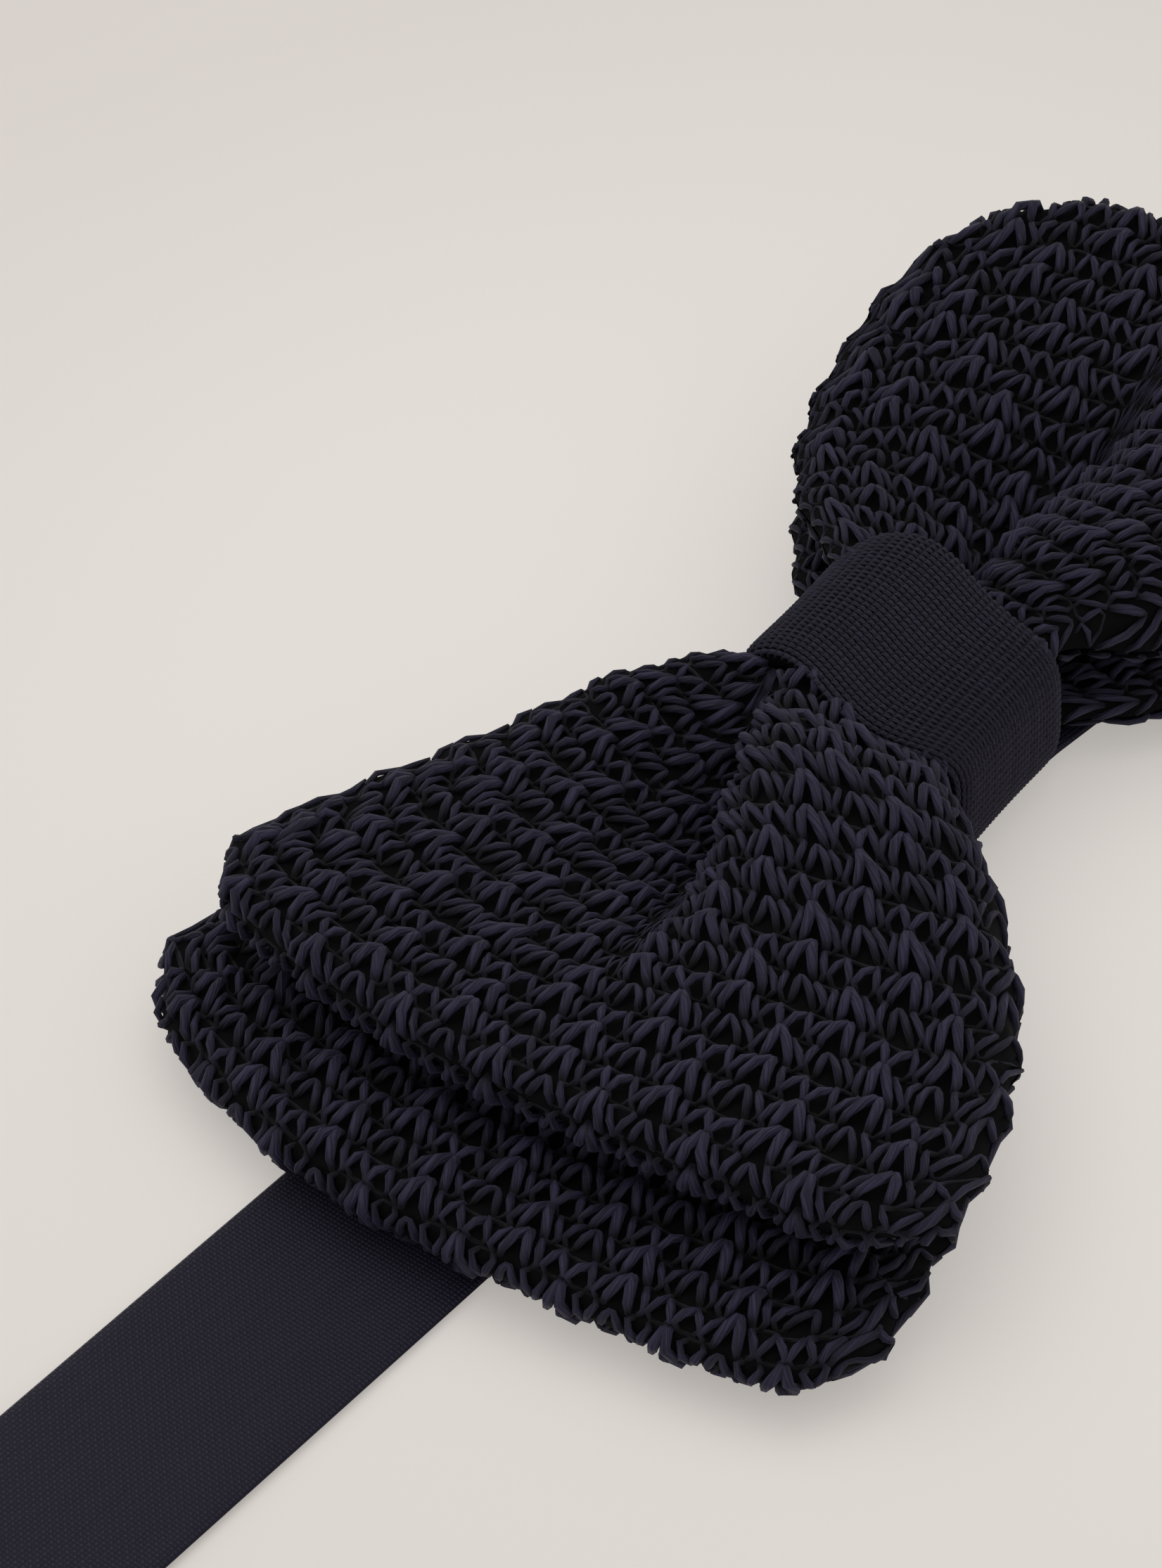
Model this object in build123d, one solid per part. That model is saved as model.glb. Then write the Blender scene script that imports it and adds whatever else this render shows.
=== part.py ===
from build123d import *
from math import cos, radians, tan
import os

# Pre-tied knitted bow tie on an adjustable satin neckband, lying on its back.
# Millimetres.  X runs along the bow and the band, Y across them, +Z up.
# The origin is on the resting plane, under the middle of the centre knot.

# ---- bow: two flat knitted loops, one on the other, pinched by the knot ----
FRONT_HALF_LENGTH = 57.0      # middle of the knot to the outer fold, upper loop
BACK_HALF_LENGTH = 66.0       # the same for the lower loop, which shows beyond it
WING_HALF_WIDTH = 34.5        # half the bow's width at its widest
WING_CORNER_RADIUS = 9.0      # rounded outer corners, seen from above
LOOP_THICKNESS = 6.0          # one loop at its outer fold, two plies and air
LOOP_GAP = 1.6                # air between the two loops at their outer ends
LAYER_CLEARANCE = 0.1         # between pieces held together inside the knot
BOW_TURN = 5.0                # degrees from the band's line to the bow's, seen from above

# ---- centre knot: a knitted strip wrapped once round the gathered middle ----
KNOT_HALF_LENGTH = 9.0
KNOT_HEIGHT = 16.0
KNOT_WALL = 1.4
KNOT_TOP_RADIUS = 3.6
KNOT_BACK_RADIUS = 2.3
KNOT_INNER_RADIUS = 0.2
KNOT_SEAM_GAP = 0.4           # where the strip's two ends meet, on the back
SEAM_GROOVE_WIDTH = 2.4
SEAM_GROOVE_DEPTH = 0.7
SEAM_OFFSET = 4.5             # the seam lies beside the middle of the back

# ---- sewing thread ----
THREAD_DIAMETER = 0.5
SEAM_STITCH_PITCH = 2.6
TACK_STITCHES = 7
TACK_LENGTH = 11.0            # across the band
TACK_THREAD_DIAMETER = 0.35

# ---- neckband ----
BAND_WIDTH = 19.0
BAND_THICKNESS = 0.8
BAND_GAP = 0.05               # between layers of band that lie on each other
BAND_BEND_RADIUS = 14.0
BEND_LINE = 72.0              # where each side of the band bends upwards
RIGID_BAND_END = 76.0         # end of the right band's stretch beside the bend
BAND_RISE = 14.0              # length over which the band climbs into the knot
EYE_REACH = 190.0             # middle of the knot to the eye's bar
HOOK_REACH = 205.0            # middle of the knot to the hook's bar
ADJUSTER_REACH = 135.0        # middle of the knot to the adjuster's bar
SEWN_TAIL = 17.0              # length of each sewn-back end, from its bar
HOOK_FOLD_LENGTH = 12.0       # band that stays shaped round the hook's bar
WEAVE_LEAD = 4.0              # band that stays shaped beyond the adjuster

# ---- metal fittings ----
PLATE_THICKNESS = 1.0
FITTING_HALF_WIDTH = 12.2
SLOT_SIDE_CLEARANCE = 0.6     # band edge to the end of a slot
BAR_DIAMETER = 1.5
BAR_CLEARANCE = 0.06
SLOT_LENGTH = 3.4             # along X, beside a bar
RIM = 1.8                     # width of the plate round a slot
ADJUSTER_HALF_LENGTH = 7.6
END_BAR_WIDTH = 1.6
TONGUE_WIDTH = 8.0
TONGUE_LENGTH = 5.5
TONGUE_BEND_RADIUS = 1.5
CATCH_SLOT_WIDTH = 10.0
CATCH_SLOT_LENGTH = 4.4
FITTING_CORNER_RADIUS = 1.6


def strip(points, radii, width=BAND_WIDTH, thickness=BAND_THICKNESS):
    """A band of even thickness along a route of (x, z) points, its ends round."""
    route = FilletPolyline(*points, radius=radii) if len(points) > 2 else Line(*points)
    profile = make_face(offset(route, amount=thickness / 2, side=Side.BOTH))
    return extrude(Plane.XZ * profile, amount=width / 2, both=True)


def layer_height(number):
    """Height of the middle of a band layer, counted from the table."""
    return BAND_THICKNESS / 2 + number * (BAND_THICKNESS + BAND_GAP)


# ------------------------------------------------------ inside the knot
# The band crosses the knot at the turn angle, so its corners set the room it needs.
turn_angle = radians(BOW_TURN)
band_corner = BAND_WIDTH / 2 / cos(turn_angle) + KNOT_HALF_LENGTH * tan(turn_angle)
cavity_half_width = band_corner + LAYER_CLEARANCE
knot_half_width = cavity_half_width + KNOT_WALL
thread_room = THREAD_DIAMETER + LAYER_CLEARANCE
pinch_half_width = cavity_half_width - thread_room - LAYER_CLEARANCE


# ---------------------------------------------------------------- the bow
def bow_loop(half_length, middle_low, middle_high, end_low, end_high):
    """One flat loop: its plan outline and its side profile, intersected."""
    edge = Spline(
        (0, pinch_half_width),
        (KNOT_HALF_LENGTH, pinch_half_width),
        (0.5 * half_length, 0.73 * WING_HALF_WIDTH),
        (0.75 * half_length, 0.88 * WING_HALF_WIDTH),
        (half_length, WING_HALF_WIDTH),
        tangents=((1, 0), (1, 0.1)),
    )
    outline = edge + mirror(edge, about=Plane.XZ)
    outline += Line((half_length, WING_HALF_WIDTH), (half_length, -WING_HALF_WIDTH))
    outline += Line((0, -pinch_half_width), (0, pinch_half_width))
    plan = make_face(outline)
    corners = plan.vertices().sort_by(Axis.X)[-2:]
    plan = fillet(corners, radius=WING_CORNER_RADIUS)
    side = Polyline(
        (0, middle_low),
        (KNOT_HALF_LENGTH + BAND_RISE / 4, middle_low),
        (KNOT_HALF_LENGTH + BAND_RISE, end_low),
        (half_length, end_low),
        (half_length, end_high),
        (KNOT_HALF_LENGTH + BAND_RISE, end_high),
        (KNOT_HALF_LENGTH + BAND_RISE / 4, middle_high),
        (0, middle_high),
        close=True,
    )
    profile = make_face(side)
    fold_corners = profile.vertices().sort_by(Axis.X)[-2:]
    profile = fillet(fold_corners, radius=0.45 * (end_high - end_low))
    slab = extrude(plan, amount=2 * KNOT_HEIGHT)
    wedge = extrude(Plane.XZ * profile, amount=2 * WING_HALF_WIDTH, both=True)
    wing = slab & wedge
    return wing + mirror(wing, about=Plane.YZ)


cavity_low = KNOT_WALL
cavity_high = KNOT_HEIGHT - KNOT_WALL
band_in_knot = cavity_low + LAYER_CLEARANCE + BAND_THICKNESS / 2
gather_low = band_in_knot + BAND_THICKNESS / 2 + LAYER_CLEARANCE
gather_high = cavity_high - LAYER_CLEARANCE
pinch_low = gather_low + thread_room
pinch_high = gather_high - thread_room
pinch_middle = (pinch_low + pinch_high) / 2
back_low = BAND_THICKNESS + 0.3
back_high = back_low + LOOP_THICKNESS
front_low = back_high + LOOP_GAP
front_high = front_low + LOOP_THICKNESS

back_bow = bow_loop(
    BACK_HALF_LENGTH, pinch_low, pinch_middle - LAYER_CLEARANCE / 2, back_low, back_high
)
front_bow = bow_loop(
    FRONT_HALF_LENGTH, pinch_middle + LAYER_CLEARANCE / 2, pinch_high, front_low, front_high
)


def gather_turn(x):
    """One turn of thread round both loops' gathered middles."""
    half_width = pinch_half_width + thread_room / 2
    low = gather_low + thread_room / 2
    high = gather_high - thread_room / 2
    turn = Plane.YZ * RectangleRounded(2 * half_width, high - low, 0.6 * THREAD_DIAMETER)
    turn = Pos(x, 0, (low + high) / 2) * turn
    start = Plane(turn.wire() @ 0, z_dir=turn.wire() % 0)
    return sweep(start * Circle(THREAD_DIAMETER / 2), path=turn.wire())


gather_thread = Compound([gather_turn(x) for x in (-3.0, -1.0, 1.0, 3.0)])


# ------------------------------------------------------------- the knot
def knot_section(half_width, low, high, back_radius, front_radius):
    """A section across the bow: two corner radii in front and two behind."""
    section = Pos(0, (low + high) / 2) * Rectangle(2 * half_width, high - low)
    section = fillet(section.vertices().sort_by(Axis.Y)[:2], radius=back_radius)
    return fillet(section.vertices().sort_by(Axis.Y)[-2:], radius=front_radius)


knot_outside = knot_section(knot_half_width, 0, KNOT_HEIGHT, KNOT_BACK_RADIUS, KNOT_TOP_RADIUS)
knot_inside = knot_section(
    cavity_half_width, cavity_low, cavity_high, KNOT_INNER_RADIUS, KNOT_INNER_RADIUS
)
wrap_face = Plane.YZ * (knot_outside - knot_inside)
centre_knot = extrude(wrap_face, amount=KNOT_HALF_LENGTH, both=True)
seam_line = Pos(0, SEAM_OFFSET, 0)
centre_knot -= seam_line * Box(3 * KNOT_HALF_LENGTH, KNOT_SEAM_GAP, 3 * KNOT_WALL)
centre_knot -= seam_line * Box(3 * KNOT_HALF_LENGTH, SEAM_GROOVE_WIDTH, 2 * SEAM_GROOVE_DEPTH)


def seam_stitch(x):
    """A stitch that draws the wrap's two ends together, lying in the groove."""
    length = SEAM_GROOVE_WIDTH - 2 * LAYER_CLEARANCE
    stitch = Rot(90, 0, 0) * Cylinder(THREAD_DIAMETER / 2, length)
    return Pos(x, SEAM_OFFSET, SEAM_GROOVE_DEPTH - THREAD_DIAMETER / 2) * stitch


seam_stitches = int(2 * (KNOT_HALF_LENGTH - 1) / SEAM_STITCH_PITCH) + 1
seam_start = -SEAM_STITCH_PITCH * (seam_stitches - 1) / 2
knot_seam_stitches = Compound(
    [seam_stitch(seam_start + SEAM_STITCH_PITCH * i) for i in range(seam_stitches)]
)


# -------------------------------------------------------------- the neckband
flat = layer_height(0)
bend_setback = BEND_LINE - BAND_THICKNESS - BAND_GAP
level_end = KNOT_HALF_LENGTH + 1.0
climb_start = level_end + BAND_RISE
band_centre = strip(
    [
        (-bend_setback, flat),
        (-climb_start, flat),
        (-level_end, band_in_knot),
        (level_end, band_in_knot),
        (climb_start, flat),
        (bend_setback, flat),
    ],
    BAND_BEND_RADIUS,
)

fold_inner_radius = BAR_DIAMETER / 2 + BAR_CLEARANCE
fold_radius = fold_inner_radius + BAND_THICKNESS / 2
end_bar_height = BAND_THICKNESS + fold_inner_radius
fold_top = end_bar_height + fold_radius
end_spacing = BAND_THICKNESS + BAND_GAP
ROUND = 0.96                  # keeps a fold's two quarter turns just apart


def folded_end(reach, start, tail):
    """Band lying flat from x = start, round a bar at x = reach, and back on itself."""
    over = reach + fold_radius
    return strip(
        [
            (start, flat),
            (over, flat),
            (over, fold_top),
            (reach - 3.5, fold_top),
            (reach - 8.0, layer_height(1)),
            (reach - tail, layer_height(1)),
        ],
        [ROUND * fold_radius, ROUND * fold_radius, 3.0, 3.0],
    )


left_band = mirror(folded_end(EYE_REACH, BEND_LINE, SEWN_TAIL), about=Plane.YZ)
right_band = strip([(BEND_LINE, flat), (RIGID_BAND_END, flat)], None)

# At the adjuster the band's sewn end goes round the middle bar, with its tail on top
# of it, and the running band passes under both end bars and over the middle one.
adjuster_height = layer_height(2) + BAND_THICKNESS / 2 + BAND_GAP + PLATE_THICKNESS / 2
loop_low = adjuster_height - fold_radius
loop_high = adjuster_height + fold_radius
weave_top = loop_high + end_spacing
bar_inner = ADJUSTER_HALF_LENGTH - END_BAR_WIDTH
shaped_end = SEWN_TAIL + 5.5


def from_adjuster(points):
    """Points measured from the adjuster's middle bar, as points from the knot."""
    return [(ADJUSTER_REACH + x, z) for x, z in points]


adjuster_weave = strip(
    from_adjuster(
        [
            (-ADJUSTER_HALF_LENGTH - WEAVE_LEAD, flat),
            (-bar_inner + 0.4, flat),
            (-1.1, weave_top),
            (1.2, weave_top),
            (bar_inner - 1.0, layer_height(2)),
            (SEWN_TAIL + 1.0, layer_height(2)),
            (SEWN_TAIL + 3.5, layer_height(1)),
            (shaped_end, layer_height(1)),
        ]
    ),
    [1.6, 1.3, 1.6, 1.3, 1.5, 1.5],
)
adjuster_fold = strip(
    from_adjuster(
        [
            (shaped_end, flat),
            (bar_inner - 2.4, flat),
            (1.4, loop_low),
            (-fold_radius, loop_low),
            (-fold_radius, loop_high),
            (0.9, loop_high),
            (bar_inner - 1.6, layer_height(1)),
            (SEWN_TAIL, layer_height(1)),
        ]
    ),
    [1.2, 1.0, ROUND * fold_radius, ROUND * fold_radius, 1.0, 1.2],
)
run_start = RIGID_BAND_END + end_spacing
run_end = ADJUSTER_REACH - ADJUSTER_HALF_LENGTH - WEAVE_LEAD - end_spacing
right_band_run = strip([(run_start, flat), (run_end, flat)], None)

doubled_start = ADJUSTER_REACH + shaped_end + end_spacing
hook_fold_start = HOOK_REACH - HOOK_FOLD_LENGTH
doubled_end = hook_fold_start - end_spacing
right_band_lower = strip([(doubled_start, flat), (doubled_end, flat)], None)
right_band_upper = Pos(0, 0, end_spacing) * right_band_lower
hook_fold = folded_end(HOOK_REACH, hook_fold_start, HOOK_FOLD_LENGTH)


def tack_thread(number, x, height):
    """One thread of the bar tack that holds a folded end down."""
    thread = Rot(90, 0, 0) * Cylinder(TACK_THREAD_DIAMETER / 2, TACK_LENGTH)
    step = TACK_THREAD_DIAMETER + LAYER_CLEARANCE / 2
    return Pos(x + step * number, 0, height + TACK_THREAD_DIAMETER / 2) * thread


tail_top = layer_height(1) + BAND_THICKNESS / 2
tack_start = -EYE_REACH + SEWN_TAIL - 4.5
left_band_tack = Compound(
    [tack_thread(i, tack_start, tail_top + BAND_GAP / 5) for i in range(TACK_STITCHES)]
)


# ------------------------------------------------------------- the fittings
slot_width = BAND_WIDTH + 2 * SLOT_SIDE_CLEARANCE


def plate(x_start, x_end, slots):
    """A flat plate with round corners and slots of (x start, x end, width)."""
    middle = (x_start + x_end) / 2
    outline = Pos(middle, 0) * RectangleRounded(
        x_end - x_start, 2 * FITTING_HALF_WIDTH, FITTING_CORNER_RADIUS
    )
    for slot_start, slot_end, width in slots:
        slot = Rectangle(slot_end - slot_start, width)
        outline -= Pos((slot_start + slot_end) / 2, 0) * slot
    return extrude(outline, amount=PLATE_THICKNESS / 2, both=True)


def bar(x=0.0):
    """A round bar across the band, reaching into the plate's two sides."""
    return Pos(x, 0, 0) * Rot(90, 0, 0) * Cylinder(BAR_DIAMETER / 2, slot_width + RIM)


slot_near = -BAR_DIAMETER / 2
slot_far = BAR_DIAMETER / 2 + SLOT_LENGTH
plate_near = slot_near - 0.6
plate_far = slot_far + RIM

open_sided = plate(plate_near, plate_far, [(plate_near - 1, slot_far, slot_width)])
tongue_tip = plate_far + TONGUE_LENGTH + TONGUE_BEND_RADIUS
tongue = strip(
    [
        (slot_far + RIM / 2, 0),
        (tongue_tip, 0),
        (tongue_tip, 2 * TONGUE_BEND_RADIUS),
        (plate_far + 1.5, 2 * TONGUE_BEND_RADIUS),
    ],
    ROUND * TONGUE_BEND_RADIUS,
    TONGUE_WIDTH,
    PLATE_THICKNESS,
)
hook = Pos(HOOK_REACH, 0, end_bar_height) * (open_sided + bar() + tongue)

catch_end = plate_far + CATCH_SLOT_LENGTH
eye_plate = plate(
    plate_near,
    catch_end + RIM,
    [(plate_near - 1, slot_far, slot_width), (plate_far, catch_end, CATCH_SLOT_WIDTH)],
)
eye = mirror(Pos(EYE_REACH, 0, end_bar_height) * (eye_plate + bar()), about=Plane.YZ)

adjuster_plate = plate(
    -ADJUSTER_HALF_LENGTH, ADJUSTER_HALF_LENGTH, [(-bar_inner, bar_inner, slot_width)]
)
adjuster = Pos(ADJUSTER_REACH, 0, adjuster_height) * (adjuster_plate + bar())


# ---------------------------------------------------------------- write them
turned = Rot(0, 0, BOW_TURN)
nodes = {
    "front_bow": turned * front_bow,
    "back_bow": turned * back_bow,
    "gather_thread": turned * gather_thread,
    "centre_knot": turned * centre_knot,
    "knot_seam_stitches": turned * knot_seam_stitches,
    "band_centre": band_centre,
    "left_band": left_band,
    "left_band_tack": left_band_tack,
    "eye": eye,
    "right_band": right_band,
    "right_band_run": right_band_run,
    "adjuster": adjuster,
    "adjuster_weave": adjuster_weave,
    "adjuster_fold": adjuster_fold,
    "right_band_upper": right_band_upper,
    "right_band_lower": right_band_lower,
    "hook_fold": hook_fold,
    "hook": hook,
}
os.makedirs("parts", exist_ok=True)
for name, shape in nodes.items():
    export_step(shape, f"parts/{name}.step")
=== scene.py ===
import math

import bpy
import numpy as np
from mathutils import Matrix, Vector


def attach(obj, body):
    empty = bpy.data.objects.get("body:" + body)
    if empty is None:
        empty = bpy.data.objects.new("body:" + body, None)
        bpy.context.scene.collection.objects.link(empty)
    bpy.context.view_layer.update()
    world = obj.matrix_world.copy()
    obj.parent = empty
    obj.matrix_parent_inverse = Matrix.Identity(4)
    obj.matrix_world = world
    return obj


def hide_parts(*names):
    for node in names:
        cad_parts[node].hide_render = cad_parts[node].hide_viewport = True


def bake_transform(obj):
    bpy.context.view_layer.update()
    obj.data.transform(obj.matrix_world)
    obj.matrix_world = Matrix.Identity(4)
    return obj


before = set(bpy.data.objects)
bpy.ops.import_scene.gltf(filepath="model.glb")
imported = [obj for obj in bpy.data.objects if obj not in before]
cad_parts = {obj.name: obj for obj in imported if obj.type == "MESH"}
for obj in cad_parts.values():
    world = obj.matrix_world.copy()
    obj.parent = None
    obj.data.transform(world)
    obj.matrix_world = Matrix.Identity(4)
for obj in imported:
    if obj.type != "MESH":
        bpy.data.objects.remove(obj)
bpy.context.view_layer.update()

MM = 0.001
BOW_TURN = math.radians(5.0)      # the bow's line against the band's, seen from above
VIEW_FROM = (-52, 40.5)           # azimuth and elevation of the camera, in degrees
VIEW_DISTANCE, VIEW_LENS = 0.480, 183.05
VIEW_TARGET = (-0.015, 0.020, 0.0)
rng = np.random.default_rng(7)


# ------------------------------------------------------------------ camera
def look_from(azimuth, elevation, distance, target, lens):
    """Camera on a sphere round the target, looking at it, its width as the wide side."""
    a, e = math.radians(azimuth), math.radians(elevation)
    back = Vector((math.sin(a) * math.cos(e), -math.cos(a) * math.cos(e), math.sin(e)))
    data = bpy.data.cameras.new("view")
    data.sensor_fit = "HORIZONTAL"
    data.sensor_width = 36.0
    data.lens = lens
    data.clip_start, data.clip_end = 0.01, 50
    camera = bpy.data.objects.new("view", data)
    bpy.context.scene.collection.objects.link(camera)
    camera.location = Vector(target) + distance * back
    camera.rotation_euler = back.to_track_quat("Z", "Y").to_euler()
    bpy.context.scene.camera = camera


look_from(*VIEW_FROM, VIEW_DISTANCE, VIEW_TARGET, VIEW_LENS)


# ------------------------------------------------------------------ mesh helpers
def mesh_piece(name, points, quads, uv=None, flat_faces=0, painted_shade_depth=None):
    """An object from points in millimetres and an array of four-cornered faces.

    The last flat_faces faces are left flat, so that cut ends keep a crisp edge. The last
    argument holds how far each point of a yarn stands in front of its cloth; from it the
    yarn's material paints shade where the yarn sinks.
    """
    mesh = bpy.data.meshes.new(name)
    mesh.vertices.add(len(points))
    mesh.vertices.foreach_set("co", (np.asarray(points) * MM).astype(np.float32).ravel())
    mesh.loops.add(quads.size)
    mesh.loops.foreach_set("vertex_index", quads.astype(np.int32).ravel())
    mesh.polygons.add(len(quads))
    mesh.polygons.foreach_set("loop_start", np.arange(0, quads.size, 4, dtype=np.int32))
    smooth = np.ones(len(quads), dtype=bool)
    if flat_faces:
        smooth[-flat_faces:] = False
    mesh.polygons.foreach_set("use_smooth", smooth)
    if uv is not None:
        layer = mesh.uv_layers.new(name="UVMap")
        layer.data.foreach_set("uv", uv.astype(np.float32).ravel())
    if painted_shade_depth is not None:
        depth = mesh.attributes.new("painted_shade_depth", "FLOAT", "POINT")
        depth.data.foreach_set("value", painted_shade_depth.astype(np.float32).ravel())
    mesh.update(calc_edges=True)
    piece = bpy.data.objects.new(name, mesh)
    bpy.context.scene.collection.objects.link(piece)
    return piece


def grid_quads(rows, columns, close_columns=False):
    """Faces of a grid stored row by row; close_columns joins the last column to the first."""
    row = np.arange(rows - 1)[:, None]
    column = np.arange(columns if close_columns else columns - 1)[None, :]
    after = (column + 1) % columns
    corners = [row * columns + column, row * columns + after,
               (row + 1) * columns + after, (row + 1) * columns + column]
    return np.stack([c + 0 * row + 0 * column for c in corners], axis=-1).reshape(-1, 4)


def unit(vectors):
    """Each vector divided by its own length."""
    return vectors / np.maximum(np.linalg.norm(vectors, axis=-1, keepdims=True), 1e-9)


def ease(x, low, high):
    """0 before low, 1 after high, and a smooth step between."""
    t = np.clip((x - low) / (high - low), 0, 1)
    return t * t * (3 - 2 * t)


def turn_bow(points):
    """Points of the bow's own frame, turned to lie as the bow does on its band."""
    c, s = math.cos(BOW_TURN), math.sin(BOW_TURN)
    x, y = points[..., 0], points[..., 1]
    return np.stack([c * x - s * y, s * x + c * y, points[..., 2]], axis=-1)


def tubes(paths, outward, radius, sides):
    """Round yarn along many paths at once, as (points, faces, UV corners).

    Each ring stands square to its path: centre + radius (cos a across - sin a lifted), with
    the angle a running once round. UV holds the length in millimetres and the share of a turn.
    """
    strands, length = paths.shape[:2]
    along = unit(np.gradient(paths, axis=1))
    across = unit(np.cross(along, outward))
    lifted = np.cross(across, along)
    angle = np.linspace(0, 2 * np.pi, sides, endpoint=False)[None, None, :, None]
    ring = across[:, :, None] * np.cos(angle) - lifted[:, :, None] * np.sin(angle)
    points = paths[:, :, None] + ring * radius[:, :, None, None]
    faces = grid_quads(length, sides, close_columns=True)
    start = (np.arange(strands) * length * sides)[:, None, None]
    quads = (faces[None] + start).reshape(-1, 4)
    steps = np.linalg.norm(np.diff(paths, axis=1), axis=-1)
    travelled = np.concatenate([np.zeros((strands, 1)), np.cumsum(steps, axis=1)], axis=1)
    row, column = np.divmod(np.arange(len(faces)), sides)
    turn = np.stack([column, column + 1, column + 1, column], axis=-1) / sides
    run = np.stack([travelled[:, row], travelled[:, row],
                    travelled[:, row + 1], travelled[:, row + 1]], axis=-1)
    uv = np.stack([run, np.broadcast_to(turn, run.shape)], axis=-1)
    half = np.arange(sides // 2 - 1)
    far = np.stack([half, half + 1, sides - 2 - half, sides - 1 - half], axis=-1)
    near, far = far[:, ::-1], far + (length - 1) * sides
    caps = (np.concatenate([near, far])[None] + start).reshape(-1, 4)
    cap_uv = np.zeros((len(caps), 4, 2))
    return (points.reshape(-1, 3), np.concatenate([quads, caps]),
            np.concatenate([uv.reshape(-1, 2), cap_uv.reshape(-1, 2)]))


# ------------------------------------------------------------------ the knitted loops
# Shapes are worked out in millimetres, which mesh_piece turns into metres.
WALES = 32
WALE_WIDTH = 2.12                 # cloth width of one wale
COURSE_PITCH = 2.90               # from one course of yarn to the next
COURSE_BOW = 3.6                  # how far a course bows towards the knot at its ends
STITCH_STEPS = 10                 # points along the yarn of one stitch
YARN_SIDES = 6
FRONT_COURSES, BACK_COURSES = 36, 42
FRONT_CLOTH, BACK_CLOTH = 105.0, 123.0     # from the knot over the fold and back, each wing
EDGE = 0.999                      # the last share of the half width that yarn reaches
SHARES = 160                      # steps in which the settled wales of a side are kept


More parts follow.
